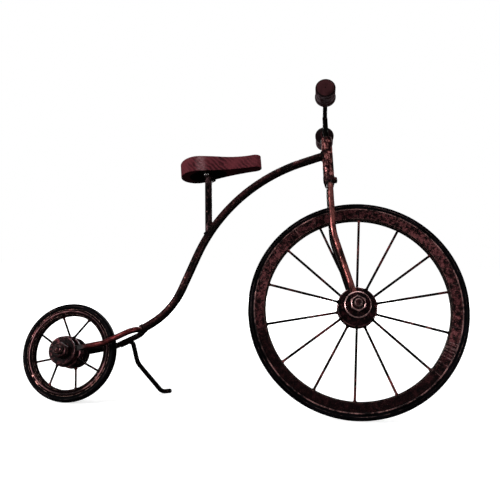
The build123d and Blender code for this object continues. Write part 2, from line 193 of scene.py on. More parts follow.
def lacquerNodes(taken):
    place = vectorNode("MULTIPLY", surface("Object"), taken["Stretch"])
    patch = noiseNode(place, taken["Patch"], lacquer["detail"], lacquer["rough"], lacquer["wander"])
    fineScale = times(taken["Patch"], lacquer["fineTimes"])
    fine = noiseNode(place, fineScale, lacquer["fineDetail"], lacquer["fineRough"])
    blend = weighted(patch, lacquer["patchShare"], fine, lacquer["fineShare"])
    edge = mathNode("SUBTRACT", lacquer["edgeAt"], times(taken["Rub"], lacquer["edgePerRub"]))
    low = mathNode("SUBTRACT", edge, lacquer["edgeBelow"])
    high = mathNode("ADD", edge, lacquer["edgeAbove"])
    rubbed = times(mapRange(blend, low, high), taken["Reach"])
    bright = times(mapRange(fine, *lacquer["glint"]), rubbed, lacquer["glintMost"])
    color = mixColor(rubbed, taken["Lacquer"], taken["Copper"])
    return dict(Color=mixColor(bright, color, taken["Glint"]), Metal=times(rubbed, lacquer["metalMost"]),
                Roughness=mapRange(blend, *lacquer["roughness"]),
                Height=weighted(fine, 1.0, rubbed, lacquer["rubbedHeight"]))


rubbedLacquer = newGroup("rubbedLacquer", dict(Lacquer="Color", Copper="Color", Glint="Color", Rub=0.4,
                                               Patch=120.0, Stretch="Vector", Reach=1.0), lacquerNodes)


# Fine grain that breaks up a worn place
def brokenNodes(taken):
    grain = noiseNode(surface("Object"), taken["Scale"], taken["Detail"])
    return dict(Mask=mapRange(grain, taken["From"], taken["To"], taken["Low"], taken["High"]))


brokenGrain = newGroup("brokenGrain", dict(Scale=500.0, Detail=2.0, From=0.35, To=0.6, Low=0.0, High=1.0),
                       brokenNodes)

# Bare bright metal on the corners of nuts, washers and flanges
cornerShine = dict(radius=0.6, samples=6, agree=(0.995, 0.9), grain=dict(Scale=300.0, Detail=3.0))


def cornerNodes(taken):
    radius = cornerShine["radius"] * mm
    rounded = putNode("Bevel", {"Radius": radius}, samples=cornerShine["samples"]).outputs[0]
    plain = putNode("NewGeometry").outputs["Normal"]
    corner = mapRange(vectorNode("DOT_PRODUCT", rounded, plain), *cornerShine["agree"])
    mask = times(corner, maskOf(brokenGrain, **cornerShine["grain"]))
    return dict(Mask=mathNode("MULTIPLY", mask, taken["Strength"], clamp=True))


wornCorners = newGroup("wornCorners", dict(Strength=1.0), cornerNodes)

# Hair-fine scratches in two directions: each is turned, then drawn out along one axis
scratches = dict(runs=[((0.5, 0.3, 0.9), (1.0, 60.0, 60.0)), ((1.2, -0.6, 0.2), (48.0, 48.0, 1.0))],
                 detail=2.0, sharp=(0.68, 0.74))


def scratchNodes(taken):
    place = surface("Object")
    both = 0.0
    for turn, stretch in scratches["runs"]:
        inputs = {"Vector": place, "Rotation": turn}
        turned = putNode("VectorRotate", inputs, rotation_type="EULER_XYZ").outputs[0]
        streak = noiseNode(vectorNode("MULTIPLY", turned, stretch), taken["Scale"], scratches["detail"])
        both = mathNode("MAXIMUM", mapRange(streak, *scratches["sharp"]), both)
    return dict(Mask=mathNode("MULTIPLY", both, taken["Density"], clamp=True))


fineScratches = newGroup("fineScratches", dict(Density=0.5, Scale=60.0), scratchNodes)

# Stained wood: bands of growth, darker pores along the grain
grain = dict(bands={"Detail": 3.0, "Detail Scale": 1.6, "Detail Roughness": 0.65}, drawn=(1.0, 0.12, 0.12),
             fibre=1400.0, cloud=45.0, detail=3.0, soft=(0.36, 0.62, 0.25, 0.85), bandRange=(0.05, 0.95),
             bandShare=0.6, fibreShare=0.4, shade=(0.25, 0.75, 0.8, 1.1), tone=(0.08, 0.98),
             roughness=(0.3, 0.7, 0.8, 0.64), fibreHeight=0.6, bandHeight=0.3)


def woodNodes(taken):
    place = surface("Object")
    laid = putNode("Mapping", {"Vector": place, "Rotation": taken["Turn"]}).outputs[0]
    inputs = {"Vector": laid, "Scale": taken["Bands"], "Distortion": taken["Wander"], **grain["bands"]}
    bands = putNode("TexWave", inputs, wave_type="BANDS", bands_direction="X").outputs["Fac"]
    fibre = noiseNode(vectorNode("MULTIPLY", laid, grain["drawn"]), grain["fibre"], grain["detail"])
    cloud = noiseNode(place, grain["cloud"], grain["detail"])
    streaks = mathNode("MAXIMUM", mapRange(bands, *grain["bandRange"]), mapRange(cloud, *grain["soft"]))
    tone = weighted(streaks, grain["bandShare"], fibre, grain["fibreShare"])
    tone = times(tone, mapRange(cloud, *grain["shade"]))
    return dict(Color=mixColor(mapRange(tone, *grain["tone"]), taken["Dark"], taken["Light"]),
                Roughness=mapRange(fibre, *grain["roughness"]),
                Height=weighted(fibre, grain["fibreHeight"], bands, grain["bandHeight"]))


stainedWood = newGroup("stainedWood", dict(Dark="Color", Light="Color", Bands=60.0, Turn="Vector",
                                           Wander=4.0), woodNodes)

# Place on a wheel: distance from the axle, which surfaces face the axle, and the way out from it
inwardRange = (-0.35, -0.75)


def polarNodes(taken):
    arm = vectorNode("SUBTRACT", surface("Object"), taken["Hub"])
    arm = vectorNode("SUBTRACT", arm, vectorNode("PROJECT", arm, taken["Axle"]))
    way = vectorNode("NORMALIZE", arm)
    facing = vectorNode("DOT_PRODUCT", surface("Normal"), way)
    return dict(Radius=vectorNode("LENGTH", arm), Inward=mapRange(facing, *inwardRange), Spread=way)


wheelPolar = newGroup("wheelPolar", dict(Hub="Vector", Axle="Vector"), polarNodes)


# A stretch of a wheel, round the way out to its middle. Edge and Full are cosines.
def patchNodes(taken):
    near = vectorNode("DOT_PRODUCT", taken["Spread"], taken["Way"])
    return dict(Mask=mapRange(near, taken["Edge"], taken["Full"]))


wheelPatch = newGroup("wheelPatch", dict(Spread="Vector", Way="Vector", Edge=0.0, Full=1.0), patchNodes)


# Scratches that run out from the axle, broken by the grain
def streakNodes(taken):
    lines = mapRange(noiseNode(taken["Spread"], taken["Scale"], taken["Detail"]), taken["From"], taken["To"])
    return dict(Mask=times(lines, maskOf(brokenGrain, From=taken["BreakFrom"], To=taken["BreakTo"])))


radialStreaks = newGroup("radialStreaks", dict(Spread="Vector", Scale=90.0, Detail=2.0, From=0.63, To=0.69,
                                               BreakFrom=0.45, BreakTo=0.6), streakNodes)

# Surfaces that face away from a wheel, on the rods either side of it, and those turned along Lead. Copper
# wear shows only there, so faces toward the lights are painted lighter, and faces toward the wheel, as on the
# far rod, stay dark as painted shade.
outward = dict(sides=(-0.003, 0.003, -1.0, 1.0), facing=(0.1, 0.75))  # sides run from and to in metres


def outerNodes(taken):
    normal = surface("Normal")
    facing = vectorNode("DOT_PRODUCT", normal, taken["Axle"])
    arm = vectorNode("SUBTRACT", surface("Object"), taken["Hub"])
    side = mapRange(vectorNode("DOT_PRODUCT", arm, taken["Axle"]), *outward["sides"])
    lead = vectorNode("DOT_PRODUCT", normal, taken["Lead"])
    return dict(Mask=mapRange(mathNode("ADD", times(facing, side), lead), *outward["facing"]))


outerFaces = newGroup("outerFaces", dict(Hub="Vector", Axle="Vector", Lead="Vector"), outerNodes)


# Surfaces that face up. Copper wear shows only there, so the tops are painted lighter, as a highlight along
# them.
def upperNodes(taken):
    rise = putNode("SeparateXYZ", {0: surface("Normal")}).outputs["Z"]
    return dict(Mask=mapRange(rise, taken["From"], taken["To"]))


upperFaces = newGroup("upperFaces", dict(From=-0.2, To=0.5), upperNodes)
print("effects made:", len(bpy.data.node_groups))


def startMaterial(name):
    material = bpy.data.materials.new(name)
    material.use_nodes = True
    bench["tree"] = material.node_tree
    return material, material.node_tree.nodes["Principled BSDF"].inputs


def finishSurface(shader, look, height, inputs):
    strength, depth = look["bump"]  # depth in millimetres
    bump = putNode("Bump", {"Height": height, "Strength": strength, "Distance": depth * mm}).outputs[0]
    feed(shader, {"Normal": bump, "Specular IOR Level": look["specular"], **inputs})


# Metal finishes: how far each is rubbed to copper, where, and how its corners shine.
# Patches on a wheel are the middle and half the spread, in degrees round the axle. Rim patches are set where
# highlights fall, and shine patches are painted glints.
frontHinge = dict(Hub=hingePoint("front_wheel_spin"), Axle=frontLeft)
rearHinge = dict(Hub=hingePoint("rear_wheel_spin"), Axle=rearLeft)
metalBase = dict(stretch=(1, 1, 1), corner=0.0, scratch=0.0, glint=(0.8, 0.4, 0.33), bump=(0.35, 0.25),
                 scratchTone=(0.5, 0.28, 0.24), scratchScale=70.0, cornerTone=(0.62, 0.38, 0.33),
                 streakTone=(0.4, 0.22, 0.2), streakMost=0.35, scrapeTone=(0.2, 0.11, 0.11), scrapeMost=0.7,
                 scrapeLines=dict(Scale=60.0, Detail=1.0, From=0.555, To=0.6, BreakFrom=0.42, BreakTo=0.52),
                 bareGrain=dict(From=0.34, To=0.54))
metalLooks = {
    "blackIron": dict(lacquer=(0.002, 0.0014, 0.0016), copper=(0.07, 0.021, 0.023), rub=0.5, patch=90,
                      corner=0.2, scratch=0.3, specular=0.02, upper=True),
    "postIron": dict(lacquer=(0.0016, 0.0012, 0.0014), copper=(0.09, 0.047, 0.053), rub=0.44, patch=150,
                     stretch=(1, 1, 0.5), corner=0.1, scratch=0.2, specular=0.01),
    "plainBlack": dict(lacquer=(0.0012, 0.001, 0.001), copper=(0.01, 0.006, 0.006), rub=0.35, patch=90,
                       scratch=0.04, specular=0.01),
    "plateBlack": dict(lacquer=(0.001, 0.0008, 0.0008), copper=(0.006, 0.004, 0.004), rub=0.35, patch=90,
                       scratch=0.02, specular=0.0),
    "stayIron": dict(lacquer=(0.003, 0.0016, 0.0016), copper=(0.15, 0.026, 0.027), rub=0.54, patch=85,
                     stretch=(0.4, 1, 1), corner=0.05, scratch=0.06, specular=0.02,
                     outer=dict(rearHinge, Lead=bikeUp * 0.6), fade=(rearHinge, 18.0, 34.0)),
    "headCopper": dict(lacquer=(0.004, 0.001, 0.0014), copper=(0.95, 0.33, 0.31), rub=0.43, patch=240,
                       stretch=(1, 1, 0.6), corner=0.3, scratch=0.2, specular=0.02, glint=(1.0, 0.7, 0.66)),
    "forkCopper": dict(lacquer=(0.004, 0.002, 0.002), copper=(0.33, 0.1, 0.09), rub=0.55, patch=150,
                       stretch=(1, 1, 0.2), corner=0.2, scratch=0.2, specular=0.03,
                       outer=dict(frontHinge, Lead=forkForward * 0.45)),
    "hubIron": dict(lacquer=(0.003, 0.0018, 0.0022), copper=(0.075, 0.018, 0.024), rub=0.4, patch=210,
                    corner=0.3, scratch=0.1, specular=0.015),
    "spokeWire": dict(lacquer=(0.0014, 0.0011, 0.0011), copper=(0.36, 0.072, 0.074), rub=0.42, patch=22,
                      specular=0.02),
    "frontRimBrown": dict(lacquer=(0.0025, 0.0014, 0.0017), copper=(0.145, 0.04, 0.046), rub=0.46, patch=260,
                          corner=0.4, scratch=0.12, specular=0.02, polar=frontHinge, place=frontWheelPlace,
                          patches=[(157, 28), (105, 26), (25, 55)], faint=0.14,
                          shine=[(155, 18), (38, 26), (346, 8)], bare=(0.3, 0.098, 0.102),
                          scrapes=[(330, 12)]),
    "rearRimBrown": dict(lacquer=(0.002, 0.0012, 0.0015), copper=(0.1, 0.028, 0.031), rub=0.45, patch=230,
                         corner=0.4, scratch=0.12, specular=0.0, polar=rearHinge, place=rearWheelPlace,
                         patches=[(222, 9), (325, 16), (130, 36)], faint=0.1,
                         shine=[(222, 10), (325, 9)], bare=(0.8, 0.36, 0.31), band=(37.6, 39.2)),
    "nutIron": dict(lacquer=(0.004, 0.0022, 0.0026), copper=(0.1, 0.03, 0.032), rub=0.42, patch=220,
                    corner=0.3, scratch=0.2, specular=0.04),
    "rimEdge": dict(lacquer=(0.006, 0.0035, 0.0038), copper=(0.26, 0.13, 0.125), rub=0.52, patch=60,
                    specular=0.08, dull=0.0),
    "rearRimEdge": dict(lacquer=(0.003, 0.002, 0.0022), copper=(0.38, 0.17, 0.175), rub=0.6, patch=60,
                        specular=0.06, dull=0.0, polar=rearHinge, place=rearWheelPlace,
                        patches=[(190, 50), (110, 26), (325, 18)], faint=0.15),
    "brightEdge": dict(lacquer=(0.006, 0.003, 0.0034), copper=(0.64, 0.37, 0.36), rub=0.6, patch=75,
                       specular=0.3, dull=0.75),
    "flangeEdge": dict(lacquer=(0.004, 0.0022, 0.0025), copper=(0.13, 0.05, 0.055), rub=0.58, patch=60,
                       specular=0.2, dull=0.6),
    "tyreScuff": dict(lacquer=(0.003, 0.0024, 0.0026), copper=(0.12, 0.075, 0.077), rub=0.44, patch=45,
                      specular=0.03, dull=0.0),
}
patchEdge = 1.6  # shares of half a patch's spread where it starts and where it is whole
patchFull = 0.4


def patchMask(spread, place, patches):
    mask = 0.0
    for middle, half in patches:
        edge, full = [math.cos(math.radians(share * half)) for share in (patchEdge, patchFull)]
        way = place.to_3x3() @ turnedWay(xWay, zWay, middle)
        mask = mathNode("MAXIMUM", maskOf(wheelPatch, Spread=spread, Way=way, Edge=edge, Full=full), mask)
    return mask


def rimWear(look, color, rubbed):
    # Rims are black toward the axle, and scratched along the radius. Copper wear shows only in patches round
    # the wheel, set where highlights fall, so it is partly painted highlight; the shine patches paint
    # brighter glints on it.
    polar = placeGroup(wheelPolar, look["polar"])
    spread = polar["Spread"]
    patches = patchMask(spread, look["place"], look["patches"])
    masks = [mapRange(patches, 0.0, 1.0, look["faint"], 1.0), mathNode("SUBTRACT", 1.0, polar["Inward"])]
    if "band" in look:
        masks.append(mapRange(polar["Radius"], *[edge * mm for edge in look["band"]]))
    streak = times(maskOf(radialStreaks, Spread=spread), patches, look["streakMost"])
    color = mixColor(streak, color, look["streakTone"])
    if "scrapes" in look:
        scraped = patchMask(spread, look["place"], look["scrapes"])
        lines = maskOf(radialStreaks, Spread=spread, **look["scrapeLines"])
        color = mixColor(times(scraped, lines, look["scrapeMost"]), color, look["scrapeTone"])
    if "shine" in look:
        # painted glints: brighter copper in the shine patches
        bare = patchMask(spread, look["place"], look["shine"])
        color = mixColor(times(bare, maskOf(brokenGrain, **look["bareGrain"]), rubbed), color, look["bare"])
    return color, masks


def makeMetal(name, look):
    look = {**metalBase, **look}
    material, shader = startMaterial(name)
    rub = placeGroup(rubbedLacquer, dict(Lacquer=look["lacquer"], Copper=look["copper"], Glint=look["glint"],
                                         Rub=look["rub"], Patch=look["patch"], Stretch=look["stretch"]))
    color, metal = rub["Color"], rub["Metal"]
    masks = []
    if "outer" in look:
        # copper only on outer faces and faces along Lead: painted light on the near side, painted shade on
        # the far rod
        masks.append(maskOf(outerFaces, **look["outer"]))
    if "upper" in look:
        # copper only on faces that look up: a painted highlight along the tops
        masks.append(maskOf(upperFaces))
    if "fade" in look:
        hinge, low, high = look["fade"]
        masks.append(mapRange(placeGroup(wheelPolar, hinge)["Radius"], low * mm, high * mm))
    if look["scratch"] > 0:
        marks = maskOf(fineScratches, Density=look["scratch"], Scale=look["scratchScale"])
        color = mixColor(marks, color, look["scratchTone"])
    if "polar" in look:
        color, rimMasks = rimWear(look, color, metal)
        masks += rimMasks
    if masks:
        feed(rub["Color"].node.inputs, dict(Reach=times(*masks)))
    if look["corner"] > 0:
        corner = maskOf(wornCorners, Strength=look["corner"])
        color = mixColor(corner, color, look["cornerTone"])
        metal = mathNode("MAXIMUM", metal, corner)
    finishSurface(shader, look, rub["Height"], {"Base Color": color, "Metallic": look.get("dull", metal),
                                                "Roughness": rub["Roughness"]})
    return material


# Tyres: satin black with dust in the pores and scuffs near the tread
tyreLook = dict(pores=900.0, cloud=60.0, detail=4.0, dust=(0.35, 0.75), black=(0.0008, 0.0008, 0.001),
                dusty=(0.003, 0.0026, 0.0034), scuffs=dict(Density=0.25, Scale=45.0),
                scuffTone=(0.03, 0.02, 0.023), roughness=(0.3, 0.7, 0.34, 0.5), specular=0.006,
                bump=(0.25, 0.2))


def makeTyreBlack(look):
    material, shader = startMaterial("tyreBlack")
    place = surface("Object")
    pores = noiseNode(place, look["pores"], look["detail"])
    cloud = noiseNode(place, look["cloud"], look["detail"])
    color = mixColor(mapRange(cloud, *look["dust"]), look["black"], look["dusty"])
    color = mixColor(maskOf(fineScratches, **look["scuffs"]), color, look["scuffTone"])
    roughness = mapRange(cloud, *look["roughness"])
    finishSurface(shader, look, pores, {"Base Color": color, "Roughness": roughness})
    return material


woodBase = dict(specular=0.02, bump=(0.3, 0.3), marks=dict(Density=0.2, Scale=50.0),
                markTone=(0.14, 0.05, 0.05))
woodLooks = {
    # The saddle's side is painted paler at its widest as a highlight, and faces that look down are painted
    # darker as shade.
    "saddleWood": dict(dark=(0.016, 0.004, 0.0055), light=(0.115, 0.0235, 0.03), bands=105.0,
                       turn=(0.0, 0.9, 0.25), wander=5.0, sheenAt=-3.5, sheenWide=7.0, paintedSheen=(0.26, 0.14, 0.15),
                       grain=dict(Scale=600.0, Detail=3.0, From=0.25, To=0.7, Low=0.05, High=0.7),
                       side=(0.5, 0.8), oval=(19.0, 14.5), ovalEdge=(1.05, 0.95),
                       ovalBlack=(0.0015, 0.0012, 0.0012), below=(-0.5, -0.8), underShadeMost=0.6,
                       underShade=(0.006, 0.0025, 0.004)),
    # The grip's turned side is painted paler below, as a reflection of the pale floor.
    "gripWood": dict(dark=(0.008, 0.0025, 0.003), light=(0.037, 0.0112, 0.0132), bands=90.0,
                     turn=(0.0, 0.3, 1.2), wander=3.0, edgeFrom=(0.3, 0.45), edgeTo=(0.985, 0.93),
                     edgeMost=0.85, edgeBlack=(0.002, 0.0014, 0.0016), barrel=(0.4, 0.2), under=(0.0, -0.6),
                     grain=dict(Scale=350.0, Detail=3.0, From=0.35, To=0.62, Low=0.0, High=0.8),
                     barrelShine=(0.13, 0.095, 0.105)),
}


def gripWear(look, color):
    # Painted sheen: the turned side is painted paler below, as a reflection of the pale floor; the eased
    # edges are black
    normal = surface("Normal")
    across = mathNode("ABSOLUTE", vectorNode("DOT_PRODUCT", normal, frontLeft))
    edge = times(mapRange(across, *look["edgeFrom"]), mapRange(across, *look["edgeTo"]), look["edgeMost"])
    color = mixColor(edge, color, look["edgeBlack"])
    rise = putNode("SeparateXYZ", {0: normal}).outputs["Z"]
    # painted reflection of the floor on the barrel's underside
    shine = times(mapRange(across, *look["barrel"]), mapRange(rise, *look["under"]),
                  maskOf(brokenGrain, **look["grain"]))
    return mixColor(shine, color, look["barrelShine"])


def saddleWear(look, color):
    # Painted sheen: the side is painted paler at its widest, where a highlight falls. Faces that look down
    # are painted darker as shade, and the underside is coloured black in an oval round the post.
    normal = surface("Normal")
    arm = vectorNode("SUBTRACT", surface("Object"), plateMiddle)
    along, aside = [vectorNode("DOT_PRODUCT", arm, way) for way in (seatForward, rearLeft)]
    up, out = [vectorNode("DOT_PRODUCT", normal, way) for way in (seatUp, rearLeft)]
    away = mathNode("ABSOLUTE", mathNode("SUBTRACT", along, look["sheenAt"] * mm))
    beside = mapRange(mathNode("ABSOLUTE", out), *look["side"])
    # painted highlight on the side at its widest
    paintedSheen = times(mapRange(away, look["sheenWide"] * mm, 0.0), beside, maskOf(brokenGrain, **look["grain"]))
    color = mixColor(paintedSheen, color, look["paintedSheen"])
    shares = [times(part, 1 / (reach * mm)) for part, reach in zip((along, aside), look["oval"])]
    spread = mathNode("ADD", *[times(share, share) for share in shares])
    below = mapRange(up, *look["below"])
    # painted shade on faces that look down
    color = mixColor(times(below, look["underShadeMost"]), color, look["underShade"])
    return mixColor(times(mapRange(spread, *look["ovalEdge"]), below), color, look["ovalBlack"])


def makeWood(name, wear):
    look = {**woodBase, **woodLooks[name]}
    material, shader = startMaterial(name)
    wood = placeGroup(stainedWood, dict(Dark=look["dark"], Light=look["light"], Bands=look["bands"],
                                        Turn=look["turn"], Wander=look["wander"]))
    mark = maskOf(fineScratches, **look["marks"])
    color = wear(look, mixColor(mark, wood["Color"], look["markTone"]))
    finishSurface(shader, look, wood["Height"], {"Base Color": color, "Roughness": wood["Roughness"]})
    return material


steelLook = dict(scale=1500.0, detail=3.0, tone=(0.35, 0.65), dark=(0.3, 0.28, 0.27), light=(0.75, 0.72, 0.7),
                 roughness=(0.3, 0.7, 0.22, 0.4), specular=0.5, bump=(0.15, 0.1))


def makeScrewSteel(look):
    material, shader = startMaterial("screwSteel")
    grey = noiseNode(surface("Object"), look["scale"], look["detail"])
    color = mixColor(mapRange(grey, *look["tone"]), look["dark"], look["light"])
    roughness = mapRange(grey, *look["roughness"])
    finishSurface(shader, look, grey, {"Base Color": color, "Roughness": roughness, "Metallic": 1.0})
    return material


metals = {name: makeMetal(name, look) for name, look in metalLooks.items()}
tyreBlack = makeTyreBlack(tyreLook)
saddleWood = makeWood("saddleWood", saddleWear)
gripWood = makeWood("gripWood", gripWear)
screwSteel = makeScrewSteel(steelLook)

# Finish of each solid
nodeFinish = {
    "blackIron": ["backbone", "fork_collar", "collar_screw"],
    "postIron": ["seat_post"],
    "plainBlack": ["side_stand", "steering_stem", "handlebar"],
    "plateBlack": ["saddle_plate"],
    "stayIron": ["rear_fork"],
    "headCopper": ["head_tube"],
    "forkCopper": ["front_fork"],
    "hubIron": ["front_hub", "rear_hub", "front_axle", "rear_axle", "front_axle_nut", "rear_axle_nut",
                "front_washer_left", "front_washer_right", "rear_washer_left", "rear_washer_right"],
    "spokeWire": ["front_spokes", "rear_spokes"],
    "frontRimBrown": ["front_rim"],
    "rearRimBrown": ["rear_rim"],
    "tyreBlack": ["front_tyre", "rear_tyre"],
    "saddleWood": ["saddle"],
    "gripWood": ["grip_left", "grip_right"],
    "screwSteel": ["saddle_screws"],
}


def setMaterial(piece, material):
    piece.data.materials.clear()
    piece.data.materials.append(material)


for finish, names in nodeFinish.items():
    for nodeName in names:
        setMaterial(nodes[nodeName], bpy.data.materials[finish])
print("finishes made:", len(bpy.data.materials))

# Mesh helpers. A shape is its points and its faces.
pieceMerge = 2e-6  # metres within which points become one
nodeMerge = 1e-6
pole = 0.001  # millimetres, or a share, left open at the middle of a turned end


def addPiece(name, shape, material, body, stands=(), edgeMaterial=None, edgeFaces=()):
    points, faces = shape
    mesh = bpy.data.meshes.new(name)
    mesh.from_pydata([tuple(p) for p in points], [], faces)
    for face in edgeFaces:
        mesh.polygons[face].material_index = 1
    shaped = bmesh.new()
    shaped.from_mesh(mesh)
    bmesh.ops.remove_doubles(shaped, verts=shaped.verts, dist=pieceMerge)
    bmesh.ops.recalc_face_normals(shaped, faces=shaped.faces)
    shaped.to_mesh(mesh)
    shaped.free()
    mesh.shade_smooth()
    piece = bpy.data.objects.new(name, mesh)
    bpy.context.scene.collection.objects.link(piece)
    mesh.materials.append(material)
    if edgeMaterial:
        mesh.materials.append(edgeMaterial)
    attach(piece, body)
    if stands:
        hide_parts(*stands)


def roundedCorners(corners, radius, steps=4):
    # corners are a closed outline of (radius, place along the axle)
    most = 0.45  # share of a side that its corner may take
    outline = []
    for index, corner in enumerate(corners):
        here = Vector(corner)
        before = Vector(corners[index - 1]) - here
        after = Vector(corners[(index + 1) % len(corners)]) - here
        turn = before.angle(after)
        reach = min(radius / math.tan(turn / 2), most * before.length, most * after.length)
        start = here + before.normalized() * reach
        end = here + after.normalized() * reach
        for step in range(steps + 1):
            t = step / steps
            outline.append((1 - t) ** 2 * start + 2 * t * (1 - t) * here + t**2 * end)
    return outline


def cornerSteps(corner, steps=4, corners=1):
    # The outline steps that round one corner, or run round several in a row
    return list(range(corner * (steps + 1), (corner + corners) * (steps + 1) - 1))


def bandFaces(rows, around, closed=False):
    # Faces between rows of points, where each row is a closed ring
    faces = []
    for row in range(rows if closed else rows - 1):
        here, there = row * around, (row + 1) % rows * around
        for turn in range(around):
            following = (turn + 1) % around
            faces.append((here + turn, here + following, there + following, there + turn))
    return faces


def capFace(row, around):
    return tuple(range(row * around, (row + 1) * around))


def turnedRing(outline, place, segments):
    # Turns a closed outline about the local Y axis
    points = []
    for segment in range(segments):
        angle = fullTurn * segment / segments
        for radius, along in outline:
            points.append(place @ (Vector((radius * math.cos(angle), along, radius * math.sin(angle))) * mm))
    return points, [(a, d, c, b) for a, b, c, d in bandFaces(segments, len(outline), True)]


def bandsOf(wanted, around, segments):
    # Numbers of the faces in the wanted bands, for edges with a finish of their own
    return [segment * around + index for segment in range(segments) for index in wanted]


def joinShapes(shapes):
    points, faces = [], []
    for shapePoints, shapeFaces in shapes:
        base = len(points)
        points.extend(shapePoints)
        faces.extend(tuple(base + i for i in face) for face in shapeFaces)
    return points, faces


def waysRound(way, steps):
    # Directions square to a way, all round it
    side = way.orthogonal().normalized()
    cross = way.cross(side)
    angles = [fullTurn * step / steps for step in range(steps)]
    return [side * math.cos(angle) + cross * math.sin(angle) for angle in angles]


# Tyres with soft shoulders, and a bright rolled bead where the rim holds each one
wheelSegments = 192
wheelLooks = {
    "front": dict(place=frontWheelPlace, radius=100.0, width=9.4, depth=6.5, rimDepth=10.0, beadAt=93.7,
                  beadThick=0.55, edge="rimEdge"),
    "rear": dict(place=rearWheelPlace, radius=47.5, width=8.8, depth=5.6, rimDepth=6.2, beadAt=39.6,
                 beadThick=0.6, edge="rearRimEdge"),
}
tyreShape = dict(crownHeight=1.1, crownSteps=10, shoulderRound=1.5, roundSteps=3, ribAt=0.5, ribWide=0.42,
                 ribHigh=0.28)
beadShape = dict(sideStep=0.3, innerThick=0.4, innerStep=0.9, innerRise=1.2, flats=10)


def tyreOutline(look):
    half = look["width"] / 2
    crown = tyreShape["crownHeight"]
    bow = (half**2 + crown**2) / (2 * crown)
    reach = math.asin(half / bow)
    seat = look["radius"] - look["depth"]
    rib = seat + tyreShape["ribAt"] * look["depth"]
    wide = tyreShape["ribWide"]
    ribSide = [(rib - wide, half), (rib, half + tyreShape["ribHigh"]), (rib + wide, half)]
    corners = [(seat, half), (seat, -half)] + [(r, -y) for r, y in ribSide]
    for step in range(tyreShape["crownSteps"] + 1):
        angle = -reach + 2 * reach * step / tyreShape["crownSteps"]
        corners.append((look["radius"] - bow * (1 - math.cos(angle)), bow * math.sin(angle)))
    corners += reversed(ribSide)
    ribs = [i for i, (r, y) in enumerate(corners) if abs(y) > half + tyreShape["ribHigh"] / 2]
    return roundedCorners(corners, tyreShape["shoulderRound"], tyreShape["roundSteps"]), ribs


def beadOutline(middle, along, thick):
    angles = [fullTurn * i / beadShape["flats"] for i in range(beadShape["flats"])]
    return [(middle + thick * math.cos(angle), along + thick * math.sin(angle)) for angle in angles]


for wheel, look in wheelLooks.items():
    body = wheel + "_wheel"
    outline, ribs = tyreOutline(look)
    ribSteps = [step for rib in ribs for step in cornerSteps(rib, tyreShape["roundSteps"])]
    ring = turnedRing(outline, look["place"], wheelSegments)
    addPiece(wheel + "TyreRound", ring, tyreBlack, body, [wheel + "_tyre"], metals["tyreScuff"],
             bandsOf(ribSteps, len(outline), wheelSegments))
    half = look["width"] / 2
    inner = look["radius"] - look["depth"] - look["rimDepth"] + beadShape["innerRise"]
    beads = []
    for side in (1, -1):
        beads.append(beadOutline(look["beadAt"], side * (half - beadShape["sideStep"]), look["beadThick"]))
        beads.append(beadOutline(inner, side * (half - beadShape["innerStep"]), beadShape["innerThick"]))
    rings = [turnedRing(bead, look["place"], wheelSegments) for bead in beads]
    addPiece(wheel + "RimBeads", joinShapes(rings), metals[look["edge"]], body)


# Hubs, washers, nuts and bolts with softened edges. Places are along the axle from the wheel's middle.
axleLooks = {
    "front": dict(place=frontWheelPlace, body="fork", flangeRadius=18.2, flangeOffset=5.6, barrelRadius=11.0,
                  halfLength=13.2, washerSeat=16.5, washerRadius=12.0, edge="brightEdge"),
    "rear": dict(place=rearWheelPlace, body="frame", flangeRadius=15.0, flangeOffset=8.4, barrelRadius=11.5,
                 halfLength=12.3, washerSeat=15.4, washerRadius=13.4, edge="flangeEdge"),
}
hubShape = dict(flangeThick=2.6, bossRadius=7.0, bore=4.05, edge=0.3, dish=0.5, dishAt=0.72, bevel=0.8,
                segments=128, bevelCorners=(4, 10))
boltShape = dict(shank=4.0, washerThick=2.0, washerBore=4.2, washerEdge=0.25, washerBevel=0.85, nutHeight=6.5,
                 headHeight=5.3, acrossFlats=13.0, cornerCut=1.2, cutSteps=5, seatFlare=1.02, seatStep=0.3,
                 faceShare=0.88, tipCut=1.1, tipBright=0.8, freeEnd=4.0, threadTop=3.78, threadDepth=0.42,
                 threadSteps=44, threadGap=0.05, pitch=1.25, boreGap=0.05, boreCut=0.5, bevelCorner=2,
                 segments=96)
bevelSlope = 0.7  # depth of a bevel for its width


def hubOutline(look):
    inner = look["flangeOffset"] - hubShape["flangeThick"] / 2
    outer = look["flangeOffset"] + hubShape["flangeThick"] / 2
    rim = look["flangeRadius"]
    boss = hubShape["bossRadius"]
    low = outer - hubShape["dish"]
    half = [(hubShape["bore"], look["halfLength"]), (boss, look["halfLength"]), (boss, outer),
            (hubShape["dishAt"] * rim, outer), (rim - hubShape["bevel"], low),
            (rim, low - bevelSlope * hubShape["bevel"]), (rim, inner), (look["barrelRadius"], inner)]
    return roundedCorners(half + [(r, -y) for r, y in reversed(half)], hubShape["edge"])


def washerOutline(look, side):
    low = look["washerSeat"]
    high = low + boltShape["washerThick"]
    bore = boltShape["washerBore"]
    rim = look["washerRadius"]
    bevel = boltShape["washerBevel"]
    corners = [(bore, low), (rim, low), (rim, high - bevelSlope * bevel), (rim - bevel, high), (bore, high)]
    return [(r, side * y) for r, y in roundedCorners(corners, boltShape["washerEdge"])]


def hexRadius(angle):
    # Distance from the middle to the flats of a hexagon
    sector = (angle + fullTurn / 12) % (fullTurn / 6) - fullTurn / 12
    return boltShape["acrossFlats"] / 2 / math.cos(sector)


